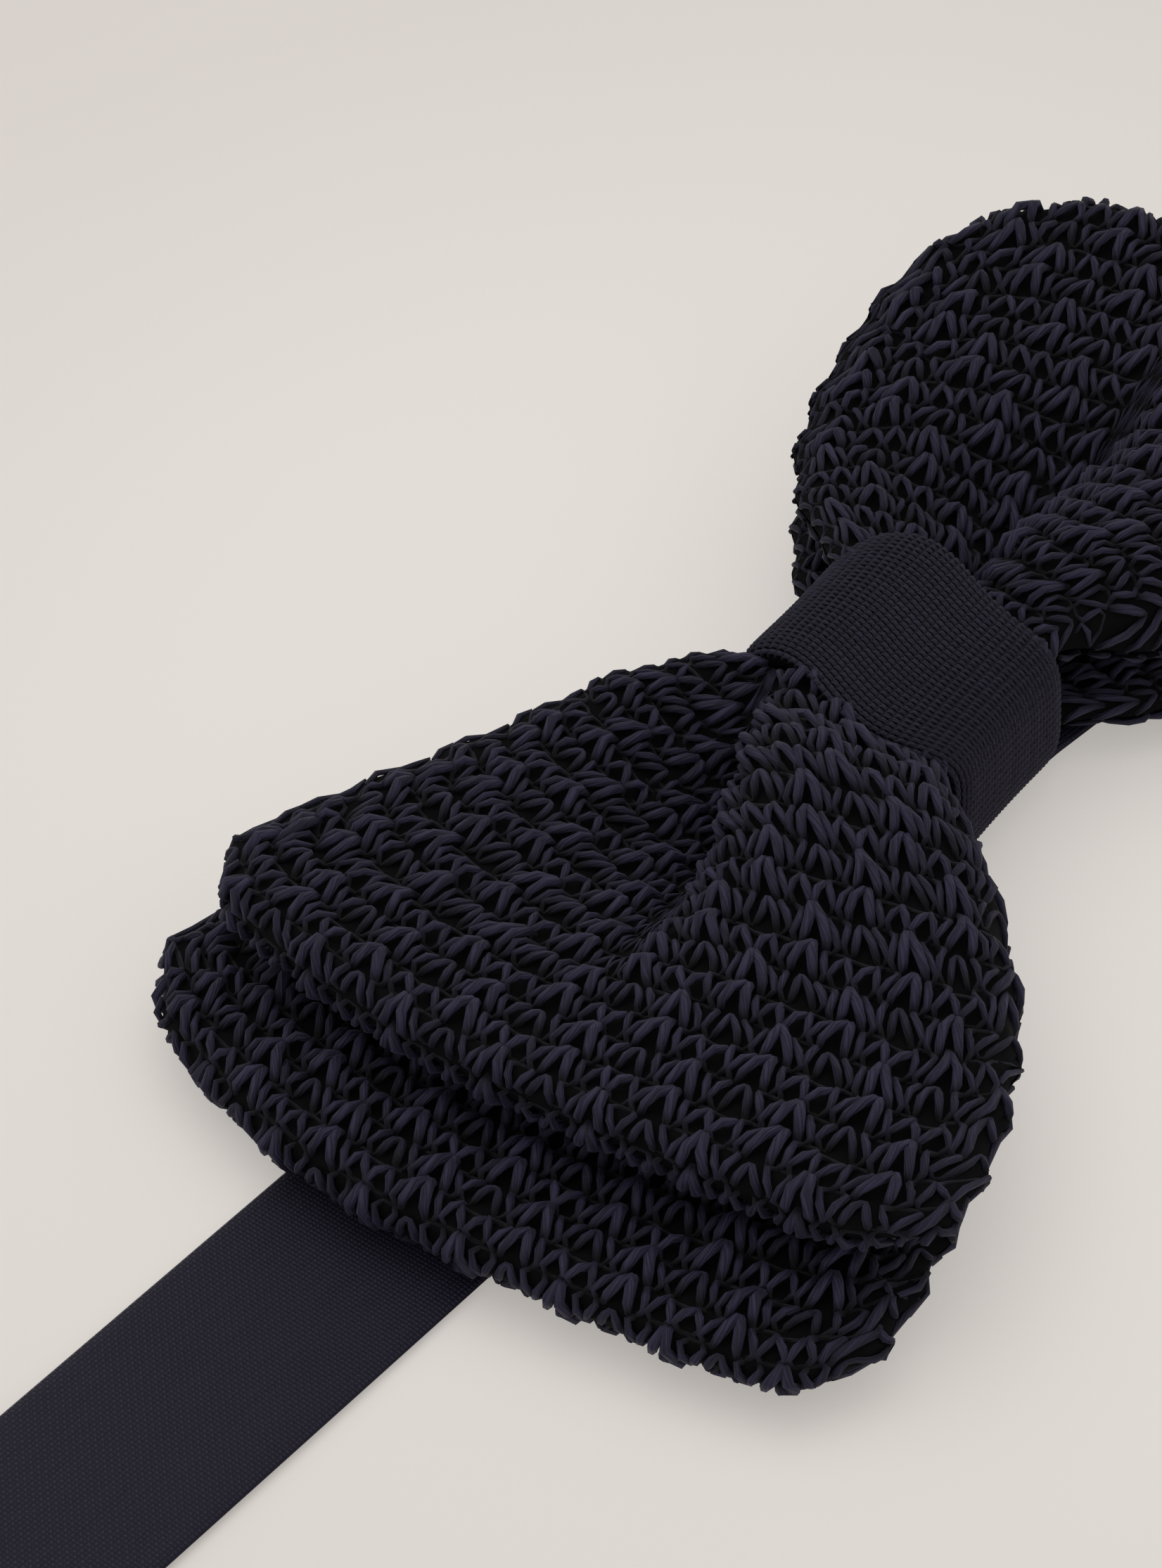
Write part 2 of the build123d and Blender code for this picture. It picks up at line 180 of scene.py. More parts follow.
class Loop:
    """One wing of a knitted loop: a flattened tube that leaves the knot and folds back.

    along: millimetres from the knot over the top, round the outer fold and back below.
    across: -1 to 1 from the -Y edge to the +Y edge, counted in wales.
    """

    start = 6.0

    def __init__(self, side, reach, bows, corner, low, high, rise, pleat, offset,
                 widths=(27.5, 35.5), lobe=0.0, rounded=0.74, tilt=0.0, swell=0.0):
        self.side = side          # +1 for the wing on +X, -1 for the other
        self.reach = reach        # knot to outer fold on the middle line
        self.bows = bows          # how far the fold curves back by its -Y and +Y corners
        self.corner = corner      # further setback of the rounded corners
        self.low = low            # underside height at the outer fold
        self.high = high          # top height at the outer fold
        self.rise = rise          # how far the underside climbs by the knot
        self.pleat = pleat        # 0 flat, 1 the full centre pleat
        self.offset = offset      # how far across the pleat starts at the knot
        self.widths = widths      # how far the -Y side opens, and the most of either side
        self.lobe = lobe          # 1 where the +Y side is one round lobe
        self.rounded = rounded    # where across the rounded corners start
        self.tilt = tilt          # how far the outer fold is lifted
        self.swell = swell        # how far the cloth stands up against the knot's rim
        self.middle = (high + low) / 2
        self.fold = (high - low) / 2
        self.top_length = reach - self.fold - self.start
        self.fold_length = math.pi * self.fold
        self.lay_wales()

    def lay_wales(self):
        """Where each wale lies: evenly over the cloth's width, the surplus in the pleat."""
        self.steps = np.arange(5.0, 71.0, 1.0)     # one row of wales to each millimetre
        v = np.linspace(-1, 1, 801)
        x = self.steps[:, None] + np.zeros((1, len(v)))
        y, z = self.sideways(x, v[None]), self.top(x, v[None])
        length = np.hypot(np.diff(y, axis=1), np.diff(z, axis=1))
        surplus = (WALES * WALE_WIDTH - length.sum(1, keepdims=True)).clip(0)
        middle = (v[1:] + v[:-1]) / 2
        tuck = np.exp(-((middle[None] - self.valley(self.steps)[:, None] + 0.02) / 0.03) ** 2)
        length = length + surplus * tuck / tuck.sum(1, keepdims=True)
        share = np.concatenate([np.zeros((len(self.steps), 1)), np.cumsum(length, axis=1)], 1)
        share = 2 * share / share[:, -1:] - 1
        even = np.linspace(-1, 1, 2 * SHARES + 1)
        self.settled = np.array([np.interp(even, row, v) for row in share])

    def spread(self, x, across):
        """Plain share of the half width at which a wale lies, read between the rows."""
        row = (x - self.steps[0]).clip(0, len(self.steps) - 1.001)
        column = ((across + 1) * SHARES).clip(0, 2 * SHARES - 0.001)
        r, c = row.astype(int), column.astype(int)
        fr, fc = row - r, column - c
        near = self.settled[r, c] * (1 - fc) + self.settled[r, c + 1] * fc
        far = self.settled[r + 1, c] * (1 - fc) + self.settled[r + 1, c + 1] * fc
        return near * (1 - fr) + far * fr

    def half_width(self, x, across):
        """Half width to each side: an opening curve to -Y, a straighter flare to +Y."""
        near = 9.8 + self.widths[0] * (1 - np.exp(-((x - 9.0).clip(0) / 19.0) ** 1.15))
        far = 12.2 + 0.46 * x - 6.0 * np.exp(-((x / 8.0) ** 2))
        round_lobe = 25.5 * (1 - np.exp(-((x - 2.6).clip(0) / 10.0) ** 1.1))
        far = far + (round_lobe - far) * self.lobe
        mixed = near + (far - near) * ease(across, -0.35, 0.35)
        scallop = 0.4 * np.sin(x) * ease(np.abs(across), 0.8, 1.0)
        return mixed.clip(0, self.widths[1]) + scallop

    def valley(self, x):
        """Where the pleat's valley lies across: beside the middle at the knot, then on it."""
        return self.offset * np.exp(-(x - 7.0) / 10.0) - 0.02

    def strength(self, x):
        """The pleat is deepest 19 mm out and fades to nothing by the outer fold."""
        return self.pleat * np.exp(-((x - 19.0) / 17.0) ** 2) * (0.3 + 0.7 * ease(x, 6, 15))

    def sideways(self, x, across):
        """Half width times across, the pleat's steep ridge leaning over its valley."""
        lean = 2.4 * np.exp(-((across - self.valley(x) + 0.17) / 0.12) ** 2)
        return self.half_width(x, across) * across + lean * self.strength(x)

    def top(self, x, across):
        """Top height: a level sheet with a valley, steep under a ridge on the -Y side."""
        u = across - self.valley(x)
        ridge = 3.1 * ease(x, 7.0, 19.0)
        steep = ridge - (6.2 + ridge) * np.exp(-((u / 0.15) ** 2))
        gentle = -0.2 - 6.0 * np.exp(-((u / 0.40) ** 2))
        wave = 0.35 * np.sin(0.21 * x + 4.0 * across) * ease(x, 20, 45)
        gathered = 0.4 * np.exp(-(((x - 6.0) / 7.0) ** 2))
        return self.high - gathered + self.strength(x) * np.where(u < 0, steep, gentle) + wave

    def under(self, x):
        """Underside height: level, climbing to clear the band by the knot."""
        return self.low + self.rise * (1 - ease(x, 10.0, 25.0))

    def near_fold(self, along):
        """1 on the outer fold, fading to nothing 8 mm away."""
        return np.exp(-((along - self.top_length - self.fold_length / 2) / 4.0) ** 2)

    def place(self, along, across):
        """Point of the loop's middle surface, in millimetres, for arrays of both."""
        far = self.reach - np.where(across < 0, self.bows[0], self.bows[1]) * across ** 2
        inward = ((np.abs(across) - self.rounded) / (1 - self.rounded)).clip(0, 0.999)
        far = far - self.corner * (1 - np.sqrt(1 - inward ** 2))
        stretch = (far - self.fold - self.start) / self.top_length
        over = along.clip(0, self.top_length)
        angle = ((along - self.top_length) / self.fold).clip(0, np.pi)
        under = (along - self.top_length - self.fold_length).clip(0)
        x = self.start + (over - under) * stretch + self.fold * np.sin(angle)
        v = self.spread(x, across)
        droop = 2.6 * self.strength(x) * ease(-v, 0.2, 0.9)
        middle = self.middle - droop
        edge = np.sqrt((1 - np.abs(v) ** 6).clip(0))
        high = middle + (self.top(x, v) - middle) * edge
        low = middle - (middle - np.minimum(self.under(x), high - 1.0)) * edge
        z = (high + low) / 2 + (high - low) / 2 * np.cos(angle)
        z = z + self.tilt * ease(x, 12.0, 66.0)
        z = z + self.swell * ease(x, 3.0, 7.0) * (1 - ease(x, 10.0, 24.0))
        return np.stack([self.side * x, self.sideways(x, v), z], axis=-1)

    def frame_at(self, along, across):
        """Middle surface, its outward direction and the length of a unit of across."""
        ahead = self.place(along + 0.3, across) - self.place(along - 0.3, across)
        high, low = np.minimum(across + 0.01, 1), np.maximum(across - 0.01, -1)
        wide = self.place(along, high) - self.place(along, low)
        outward = unit(np.cross(ahead, wide)) * self.side
        width = np.linalg.norm(wide, axis=-1) / (high - low)
        return self.place(along, across), outward, width


# Each stitch of the lace: lean and spread of its legs in wales, foot and head heights in
# courses, how far its legs and its head stand out in millimetres, and yarn radius. The
# first four rows repeat up every second wale: an open V, two tall stitches and an arch over
# a hole. The last row is every stitch of the wales between.
LACE = np.array([
    [0.32, -0.02, -0.46, 0.50, 0.08, 0.00, 0.29],
    [-0.07, 0.00, -0.62, 0.82, 0.25, 0.00, 0.365],
    [-0.08, 0.00, -0.60, 0.78, 0.22, 0.00, 0.365],
    [-0.02, -0.06, -0.34, 0.42, -0.60, 0.78, 0.29],
    [0.30, 0.00, -0.36, 0.62, -0.16, 0.00, 0.27],
])


def lace_pattern(courses, shift):
    """The LACE row of every stitch, the next worked wale half a repeat further on."""
    course = np.arange(courses)[:, None]
    wale = np.arange(WALES)[None, :]
    kind = np.where(wale % 2 == 0, (course + 2 * ((wale // 2) % 2) + shift) % 4, 4)
    loose = [0.02, 0.02, 0.03, 0.04, 0.07, 0.06, 0.012]
    jitter = rng.normal(0, 1, (courses, WALES, 7)) * loose
    return np.moveaxis(LACE[kind] + jitter, -1, 0)


def knitted(name, loop, courses, shift=0):
    """The yarn of one wing, one strand to a course, worked over the loop's surface.

    Within a stitch t runs 0 to 1: across = t + lean sin(4 pi t) + spread sin(2 pi t), along
    goes from foot to head and back as a cosine, and the yarn stands in front of the cloth on
    its legs and behind it at head and foot, as -cos(4 pi t), with the pattern's depths added.
    A course bows towards the knot at both ends, and the edge and the fold lie flatter.
    """
    lean, spread, foot, head, leg_depth, head_depth, thick = lace_pattern(courses, shift)
    steps = (np.arange(STITCH_STEPS) + 0.5) / STITCH_STEPS
    t = np.broadcast_to(steps, (courses, WALES, STITCH_STEPS))
    wale = np.arange(WALES)[None, :, None] + t + lean[..., None] * np.sin(4 * np.pi * t)
    wale = wale + spread[..., None] * np.sin(2 * np.pi * t)
    joined = (foot + np.roll(foot, 1, axis=1)) / 2
    left, right = joined[..., None], np.roll(joined, -1, axis=1)[..., None]
    rise = (1 - np.cos(2 * np.pi * t)) / 2
    base = np.where(t < 0.5, left, right)
    tall = base + (head[..., None] - base) * rise
    course = np.arange(courses)[:, None, None] + 0.5 + tall * loop.side
    out = -0.12 - 0.60 * np.cos(4 * np.pi * t) + leg_depth[..., None] * np.sin(2 * np.pi * t) ** 2
    out = out + head_depth[..., None] * rise ** 2
    across = (2 * wale / WALES - 1).reshape(courses, -1).clip(-EDGE, EDGE)
    along = (COURSE_PITCH * course).reshape(courses, -1)
    bowed = np.sin(np.pi * (along / loop.top_length).clip(0, 1)) * across ** 2
    along = along - COURSE_BOW * bowed
    out = out.reshape(courses, -1) * (1 - 0.55 * ease(np.abs(across), 0.86, 0.96))
    out = out * (1 - 0.28 * loop.near_fold(along))
    here, outward, width = loop.frame_at(along, across)
    local = (2 * width / WALES / WALE_WIDTH).clip(0.05, 1.05)
    local = local * (1 - 0.25 * ease(np.abs(across), 0.90, 1.0))
    paths = here + outward * (out * local)[..., None]
    plump = 1 - 0.20 * np.cos(4 * np.pi * t)
    radius = (thick[..., None] * plump).reshape(courses, -1) * local
    points, quads, uv = tubes(paths, outward, radius, YARN_SIDES)
    # How far the yarn stands out; its material paints shade where it sinks behind the cloth.
    painted_shade_depth = np.repeat(out.reshape(-1), YARN_SIDES)
    return mesh_piece(name, turn_bow(points), quads, uv, painted_shade_depth=painted_shade_depth)


def lining(name, loops, last):
    """The inside of a loop's two wings, painted dark as shade: each surface drawn in by the
    yarn's thickness.
    """
    rows, columns = 90, 121
    half_cloth = 34.0             # millimetres of cloth on each side of the middle
    points, quads, uv = [], [], []
    for number, loop in enumerate(loops):
        along = np.linspace(0.0, last, rows)[:, None] + np.zeros((1, columns))
        across = np.linspace(-EDGE, EDGE, columns)[None, :] + np.zeros((rows, 1))
        here, outward, width = loop.frame_at(along, across)
        by_edge = np.maximum(ease(np.abs(across), 0.86, 0.97), 0.75 * loop.near_fold(along))
        drawn_in = 0.6 - 0.5 * by_edge
        inner = here - (drawn_in * (width / half_cloth).clip(0.1, 1))[..., None] * outward
        points.append(inner.reshape(-1, 3))
        faces = grid_quads(rows, columns)
        if loop.side > 0:
            faces = faces[:, ::-1]
        quads.append(faces + number * rows * columns)
        flat = np.stack([along, across * half_cloth], axis=-1).reshape(-1, 2)
        uv.append(flat[faces].reshape(-1, 2))
    return mesh_piece(name, turn_bow(np.concatenate(points)), np.concatenate(quads),
                      np.concatenate(uv))


front_shape = dict(reach=57.0, corner=7.5, low=9.6, high=13.8, rise=0.0, pleat=1.0,
                   swell=1.2)
back_shape = dict(reach=67.0, corner=8.0, low=2.1, high=6.3, rise=1.5, pleat=0.0, offset=0.0)
front_left = Loop(-1, bows=(0.6, 8.2), offset=0.60, widths=(28.2, 35.5), **front_shape)
front_right = Loop(1, bows=(3.0, 4.0), offset=-0.08, widths=(22.5, 31.0), lobe=1.0,
                   rounded=0.60, tilt=6.0, **{**front_shape, "corner": 18.0, "reach": 59.5})
back_left = Loop(-1, bows=(2.0, 11.5), widths=(25.5, 35.5), **back_shape)
back_right = Loop(1, bows=(4.0, 4.0), widths=(23.5, 33.0), lobe=0.85, **back_shape)

front_left_knit = knitted("front_left_knit", front_left, FRONT_COURSES)
front_right_knit = knitted("front_right_knit", front_right, FRONT_COURSES, 1)
back_left_knit = knitted("back_left_knit", back_left, BACK_COURSES, 2)
back_right_knit = knitted("back_right_knit", back_right, BACK_COURSES, 3)
# The two linings are dark sheets under the knitting, coloured as its painted shade.
front_cloth = lining("front_cloth", [front_left, front_right], FRONT_CLOTH)
back_cloth = lining("back_cloth", [back_left, back_right], BACK_CLOTH)


# ------------------------------------------------------------------ the knot
KNOT_HIGH, KNOT_HALF_WIDE = 16.0, 11.8
KNOT_COURSES, KNOT_WALES = 84, 34
KNOT_ROUND = 4.0                  # power of the section's rounded box
KNOT_STEPS, KNOT_SIDES, KNOT_YARN = 8, 4, 0.17     # points to a stitch, sides and radius
THREAD_RADIUS = 0.25


def knot_section(turn):
    """Section across the bow: a rounded box, |y/a|^4 + |z/b|^4 = 1, by share of its round."""
    angle = np.linspace(0, 2 * np.pi, 1441)
    c, s = np.cos(angle), np.sin(angle)
    y = KNOT_HALF_WIDE * np.sign(c) * np.abs(c) ** (2 / KNOT_ROUND)
    z = KNOT_HIGH / 2 * np.sign(s) * np.abs(s) ** (2 / KNOT_ROUND)
    length = np.concatenate([[0], np.cumsum(np.hypot(np.diff(y), np.diff(z)))])
    share = (turn % 1.0) * length[-1]
    return np.interp(share, length, y), np.interp(share, length, z)


def knot_place(turn, across, inset=0.0):
    """Point of the wrap: the section, waisted between its rims, and slewed on top.

    On top, x = across (10.5 - 2.2 (y/11.5)^2) + 0.8 + 2.4 sin(pi y / 14), and below,
    x = 8.6 across. Both rims flare by 0.02 across^2 and curl in by 0.07 across^12. Inset
    draws the section in, by about as many millimetres.
    """
    y, z = knot_section(turn)
    on_top = ease(z, -6.0, 6.0)
    half = 8.6 + (1.9 - 2.2 * (y / 11.5) ** 2) * on_top
    x = across * half + (0.8 + 2.4 * np.sin(np.pi * y / 14)) * on_top
    rim = 1 - 0.02 + 0.02 * across ** 2 - 0.07 * across ** 12
    size = rim * (1 - inset / 9.0)
    return np.stack([x, y * size, KNOT_HIGH / 2 + z * size], axis=-1)


def knot_frame(turn, across):
    """Point just inside the wrap's face and the direction straight out of it."""
    ahead = knot_place(turn + 0.004, across) - knot_place(turn - 0.004, across)
    wide = knot_place(turn, across + 0.02) - knot_place(turn, across - 0.02)
    return knot_place(turn, across, 0.45), unit(np.cross(ahead, wide))


def knot_knit(name):
    """Fine plain knitting round the knot, by the same stitch formula at a smaller scale."""
    shape = (KNOT_COURSES, KNOT_WALES, KNOT_STEPS)
    t = np.broadcast_to(np.arange(KNOT_STEPS) / KNOT_STEPS, shape)
    lean = 0.03 + rng.normal(0, 0.015, shape[:2])[..., None]
    wale = np.arange(KNOT_WALES)[None, :, None] + t + lean * np.sin(4 * np.pi * t)
    wale = wale + 0.13 * np.sin(2 * np.pi * t)
    rise = (1 - np.cos(2 * np.pi * t)) / 2
    high = 0.74 + rng.normal(0, 0.05, shape[:2])[..., None]
    course = np.arange(KNOT_COURSES)[:, None, None] + 0.5 - 0.7 + (high + 0.7) * rise
    across = (2 * wale / KNOT_WALES - 1).reshape(KNOT_COURSES, -1) * 0.985
    turn = (course / KNOT_COURSES).reshape(KNOT_COURSES, -1)
    here, outward = knot_frame(turn, across)
    out = (-0.05 - 0.19 * np.cos(4 * np.pi * t) + 0.2 * rise ** 2).reshape(KNOT_COURSES, -1)
    paths = here + outward * out[..., None]
    radius = np.full(paths.shape[:2], KNOT_YARN)
    points, quads, uv = tubes(paths, outward, radius, KNOT_SIDES)
    # The knot's depths, tripled, so that its material paints deeper shade where its yarn sinks.
    painted_shade_depth = np.repeat(out.reshape(-1), KNOT_SIDES) * 3
    return mesh_piece(name, turn_bow(points), quads, uv, painted_shade_depth=painted_shade_depth)


def knot_lining(name):
    """The wrap's own cloth, a closed ring under the fine stitches, about 0.9 mm thick, painted
    dark as shade.
    """
    rows, columns = 121, 41
    turn = np.linspace(0, 1, rows)[:-1, None] + np.zeros((1, columns))
    across = np.linspace(-0.97, 0.97, columns)[None, :] + np.zeros((rows - 1, 1))
    outer = knot_place(turn, across, 0.65)
    inner = knot_place(turn, across[:, ::-1], 1.5)
    ring = np.concatenate([outer, inner], axis=1)
    count = 2 * columns
    faces = grid_quads(rows, count, close_columns=True)[:, ::-1] % ((rows - 1) * count)
    flat = np.stack([np.broadcast_to(np.arange(rows - 1)[:, None] * 0.6, ring.shape[:2]),
                     np.broadcast_to(np.arange(count)[None] * 0.5, ring.shape[:2])], axis=-1)
    uv = flat.reshape(-1, 2)[faces].reshape(-1, 2)
    return mesh_piece(name, turn_bow(ring.reshape(-1, 3)), faces, uv)


def gather_turns(name):
    """Four turns of thread round the gathered loops: the knot's section drawn in a quarter."""
    turn = np.linspace(0, 1, 97)[None] + np.zeros((4, 1))
    across = np.array([-0.33, -0.11, 0.11, 0.33])[:, None] + np.zeros((1, 97))
    paths = knot_place(turn, across, 2.2)
    outward = unit(paths - [0, 0, KNOT_HIGH / 2])
    points, quads, uv = tubes(paths, outward, np.full(turn.shape, THREAD_RADIUS), YARN_SIDES)
    return mesh_piece(name, turn_bow(points), quads, uv)


knot_stitches = knot_knit("knot_stitches")
knot_cloth = knot_lining("knot_cloth")
gather = gather_turns("gather_turns")


# ------------------------------------------------------------------ the neckband
def route(points, radii):
    """Straight runs joined by arcs: at each corner an arc of the given radius touches both.

    Gives the line's points, none more than 1.5 mm from the next, and their lengths along it.
    """
    line = [np.array(points[0], float)]
    for before, corner, after, radius in zip(points, points[1:], points[2:], radii):
        before, corner, after = (np.array(p, float) for p in (before, corner, after))
        back, ahead = unit(before - corner), unit(after - corner)
        half = math.acos(np.clip(back @ ahead, -1, 1)) / 2
        reach = radius / math.tan(half)
        centre = corner + unit(back + ahead) * radius / math.sin(half)
        start, end = corner + back * reach - centre, corner + ahead * reach - centre
        first = math.atan2(start[1], start[0])
        sweep = (math.atan2(end[1], end[0]) - first + math.pi) % (2 * math.pi) - math.pi
        turn = first + sweep * np.linspace(0, 1, max(3, int(abs(sweep) / 0.13) + 2))
        line.extend(centre + radius * np.stack([np.cos(turn), np.sin(turn)], axis=-1))
    line.append(np.array(points[-1], float))
    line = np.array(line)
    length = np.concatenate([[0], np.cumsum(np.linalg.norm(np.diff(line, axis=0), axis=1))])
    keep = np.concatenate([[True], np.diff(length) > 1e-4])
    line, length = line[keep], length[keep]
    fill = np.arange(0, length[-1], 1.5)
    stops = np.unique(np.round(np.concatenate([length, fill]), 4))
    return np.stack([np.interp(stops, length, line[:, k]) for k in (0, 1)], axis=-1), stops


BAND_WIDTH, BAND_THICKNESS = 19.0, 0.8


def band(name, points, radii, flip=1, offset=0.0):
    """A flat woven strip along a route of (x, z) points.

    Its section is a flat oval, half thickness = t/2 sqrt(1 - |v|^14) with v across from -1
    to 1, a little fuller just inside both folded edges. Flip is -1 where the route runs so
    that the strip's face would point down.
    """
    line, length = route(points, radii)
    tangent = unit(np.gradient(line, axis=0))
    normal = np.stack([-tangent[:, 1], tangent[:, 0]], axis=-1) * flip
    half = 24                     # points across each face of the strip
    v = np.sin(np.pi / 2 * np.linspace(-0.975, 0.975, half))
    thick = BAND_THICKNESS / 2 * np.sqrt(1 - np.abs(v) ** 14)
    thick = thick * (0.93 + 0.07 * np.exp(-((np.abs(v) - 0.93) / 0.05) ** 2))
    across = np.concatenate([v, v[::-1]]) * BAND_WIDTH / 2
    lift = np.concatenate([thick, -thick[::-1]])
    x = line[:, :1] + normal[:, :1] * lift[None]
    z = line[:, 1:] + normal[:, 1:] * lift[None]
    y = np.broadcast_to(across[None], x.shape)
    count = 2 * half
    points = np.stack([x, y, z], axis=-1).reshape(-1, 3)
    faces = grid_quads(len(line), count, close_columns=True)
    pair = np.arange(half - 1)
    near = np.stack([pair, pair + 1, count - 2 - pair, count - 1 - pair], axis=-1)
    far = near + (len(line) - 1) * count
    quads = np.concatenate([faces, near[:, ::-1], far])
    flat = np.stack([np.broadcast_to(length[:, None] + offset, x.shape), y], axis=-1)
    if flip > 0:
        quads = quads[:, ::-1]
    uv = flat.reshape(-1, 2)[quads]
    return mesh_piece(name, points, quads, uv.reshape(-1, 2), flat_faces=2 * (half - 1))


FOLD = 0.75 + 0.06 + 0.4          # a bar's radius, its clearance and half the band
LAYER = 0.85                      # from one layer of the band to the next
LOW, IN_KNOT = 0.4, 1.9           # height of the band's middle on the table and in the knot
SECOND, THIRD = LOW + LAYER, LOW + 2 * LAYER
ADJUSTER, EYE, HOOK = 135.0, 190.0, 205.0     # reach of each bar from the knot
ADJUSTER_BAR = 3.05               # height of the adjuster's middle bar
RIGHT_CUT, WEAVE_CUT = 80.0, ADJUSTER + 22.5  # where one strip follows another


def round_bar(bar):
    """A strip's way along the table, up round a bar and down to lie on itself."""
    top = LOW + 2 * FOLD
    return [(bar + FOLD, LOW), (bar + FOLD, top), (bar - 3.5, top), (bar - 8.0, SECOND)]


def from_adjuster(points):
    """Points measured from the adjuster's middle bar, as points from the knot."""
    return [(ADJUSTER + x, z) for x, z in points]


left_points = [(0.0, IN_KNOT), (10.0, IN_KNOT), (24.0, LOW), *round_bar(EYE),
               (EYE - 17.0, SECOND)]
left_strip = band("left_neckband", [(-x, z) for x, z in left_points],
                  [14, 14, 0.96 * FOLD, 0.96 * FOLD, 3.0, 3.0], flip=-1)
right_near = band("right_neckband", [(0.0, IN_KNOT), (10.0, IN_KNOT), (24.0, LOW),
                                     (RIGHT_CUT, LOW)], [14, 14])
over_bar, under_bar = ADJUSTER_BAR + FOLD, ADJUSTER_BAR - FOLD
weave = [(RIGHT_CUT - ADJUSTER, LOW), (-5.6, LOW), (-1.1, over_bar + LAYER),
         (1.2, over_bar + LAYER), (5.0, THIRD), (18.0, THIRD), (20.5, SECOND), (22.5, SECOND)]
right_run = band("sliding_neckband", from_adjuster(weave), [1.6, 1.3, 1.6, 1.3, 1.5, 1.5],
                 offset=RIGHT_CUT)
loop_fold = [(22.5, LOW), (3.6, LOW), (1.4, under_bar), (-FOLD, under_bar),
             (-FOLD, over_bar), (0.9, over_bar), (4.4, SECOND), (17.0, SECOND)]
adjuster_loop = band("adjuster_loop", from_adjuster(loop_fold),
                     [1.2, 1.0, 1.16, 1.16, 1.0, 1.2], flip=-1)
hook_points = [(WEAVE_CUT, LOW), *round_bar(HOOK), (WEAVE_CUT, SECOND)]
hook_loop = band("hook_loop", hook_points, [1.16, 1.16, 3.0, 3.0])


# ------------------------------------------------------------------ materials
# The dark end of each yarn colour is painted shade, where the yarn sinks behind its cloth.
WING_DARK, WING_LIGHT = (0.0010, 0.0009, 0.0016), (0.0265, 0.0236, 0.0500)
KNOT_DARK, KNOT_LIGHT = (0.0022, 0.0020, 0.0038), (0.0175, 0.0157, 0.0300)
# The ribbon's dark end is its painted shade between the threads.
SATIN_DARK, SATIN_LIGHT = (0.0030, 0.0026, 0.0052), (0.0180, 0.0158, 0.0310)
THREAD_DARK, THREAD_LIGHT = (0.004, 0.004, 0.006), (0.030, 0.028, 0.042)
ENAMEL_BLACK, BARE_METAL = (0.012, 0.012, 0.014), (0.10, 0.10, 0.11)
# The inside of the knitting is painted this dark, as its shade.
INSIDE_PAINTED_SHADE = (0.0016, 0.0015, 0.0022)
FLOOR_LOW, FLOOR_HIGH = (0.395, 0.378, 0.360), (0.415, 0.398, 0.379)
# Painted light: the floor's glow under the bow, and further out.
PAINTED_GLOW_NEAR, PAINTED_GLOW_FAR = (0.385, 0.366, 0.346), (0.280, 0.260, 0.238)
WARM_WHITE, WARMER_WHITE, ROOM_WHITE = (1.0, 0.99, 0.98), (1.0, 0.99, 0.975), (1.0, 0.985, 0.97)


class Nodes:
    """A short hand for laying out nodes in a material or a group."""

    def __init__(self, tree):
        self.tree = tree

    def add(self, kind, **settings):
        """A new node with its settings."""
        node = self.tree.nodes.new(kind)
        for key, value in settings.items():
            setattr(node, key, value)
        return node

    def link(self, start, end):
        self.tree.links.new(start, end)

    def math(self, operation, a, b=None):
        """One step of arithmetic on values that are numbers or other nodes' outputs."""
        node = self.add("ShaderNodeMath", operation=operation)
        for socket, value in zip(node.inputs, (a, b)):
            if value is None:
                continue
            if isinstance(value, (int, float)):
                socket.default_value = value
            else:
                self.link(value, socket)
        return node.outputs[0]

    def ramp(self, value, low, high, to_low=0.0, to_high=1.0):
        """A smooth step of a value: to_low at low, to_high at high."""
        node = self.add("ShaderNodeMapRange", interpolation_type="SMOOTHSTEP")
        for number, setting in enumerate((low, high, to_low, to_high)):
            node.inputs[number + 1].default_value = setting
        self.link(value, node.inputs[0])
        return node.outputs[0]

    def mix(self, factor, low, high):
        """A colour between two, by a factor."""
        node = self.add("ShaderNodeMix", data_type="RGBA")
        self.link(factor, node.inputs[0])
        node.inputs[6].default_value = (*low, 1)
        node.inputs[7].default_value = (*high, 1)
        return node.outputs[2]


def group(name, inputs, outputs):
    """A new node group with named sockets: its nodes, its input node and its output node."""
    tree = bpy.data.node_groups.new(name, "ShaderNodeTree")
    for label, kind, value in inputs:
        socket = tree.interface.new_socket(label, in_out="INPUT", socket_type=kind)
        if value is not None:
            socket.default_value = value
    for label, kind in outputs:
        tree.interface.new_socket(label, in_out="OUTPUT", socket_type=kind)
    nodes = Nodes(tree)
    return nodes, nodes.add("NodeGroupInput"), nodes.add("NodeGroupOutput")


FLOAT = "NodeSocketFloat"
THREAD_PITCH = 0.37               # from one thread of the ribbon to the next


